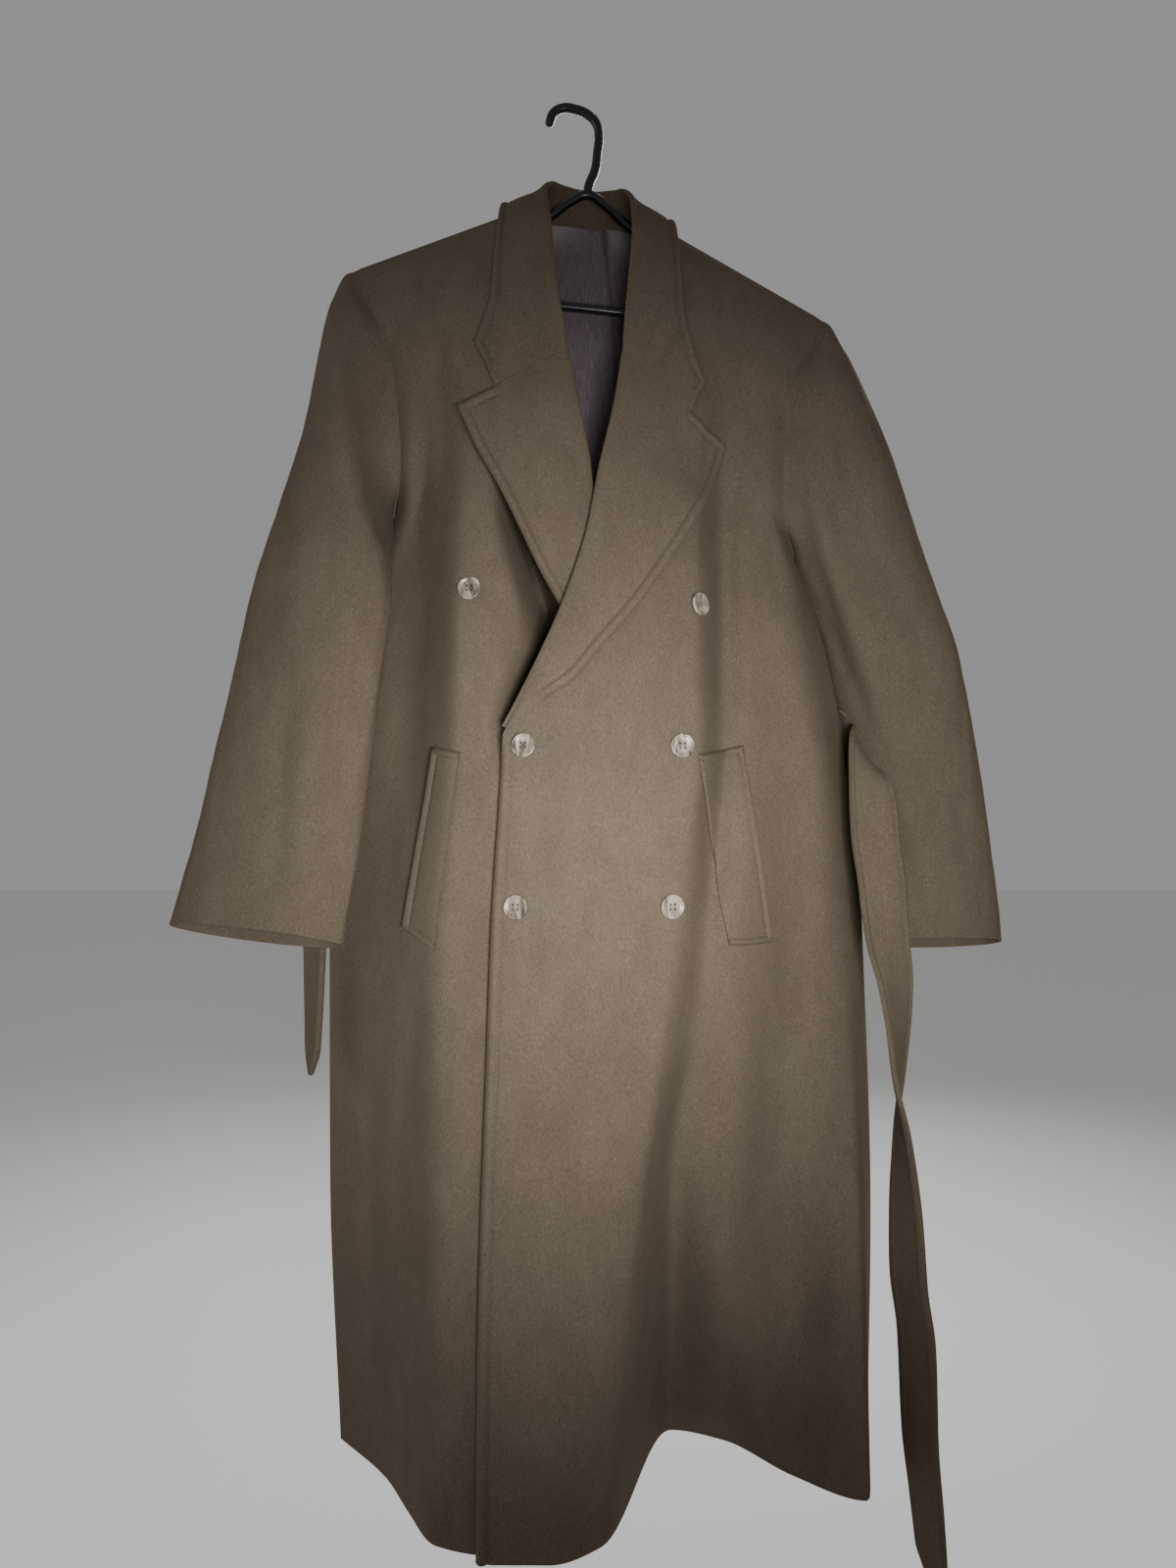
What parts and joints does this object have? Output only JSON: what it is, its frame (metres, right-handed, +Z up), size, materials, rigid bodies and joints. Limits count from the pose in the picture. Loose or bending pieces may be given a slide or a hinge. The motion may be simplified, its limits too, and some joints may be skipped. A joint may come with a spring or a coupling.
{
  "type": "overcoat on a clothes hanger",
  "caption": "Long double-breasted wool overcoat with notched lapels, welt pockets and a loose cloth belt, hanging open at neck, cuffs and hem on a tubular hanger.",
  "frame": {"origin": "the underside of the hanger's hook at its top, where it bears on what holds it", "axes": "+Z up, the coat's front towards -Y, the wearer's left towards +X"},
  "size_m": [0.815, 0.2724, 1.4823],
  "materials": {
    "wool": "olive-brown milled wool with a short nap",
    "lining": "dark aubergine-grey satin",
    "button": "dark marbled horn-like gloss",
    "hanger": "black gloss"
  },
  "bodies": {
    "root": {"front_left": "wool", "front_right": "wool", "back": "wool", "sleeve_left": "wool", "sleeve_right": "wool", "collar": "wool", "lapel_left": "wool", "lapel_right": "wool", "welt_left": "wool", "welt_right": "wool", "belt": "wool", "loop_left": "wool", "loop_right": "wool", "lining_back": "lining", "button_1_left": "button", "button_1_right": "button", "button_2_left": "button", "button_2_right": "button", "button_3_left": "button", "button_3_right": "button", "hanger": "hanger"}
  },
  "joints": []
}
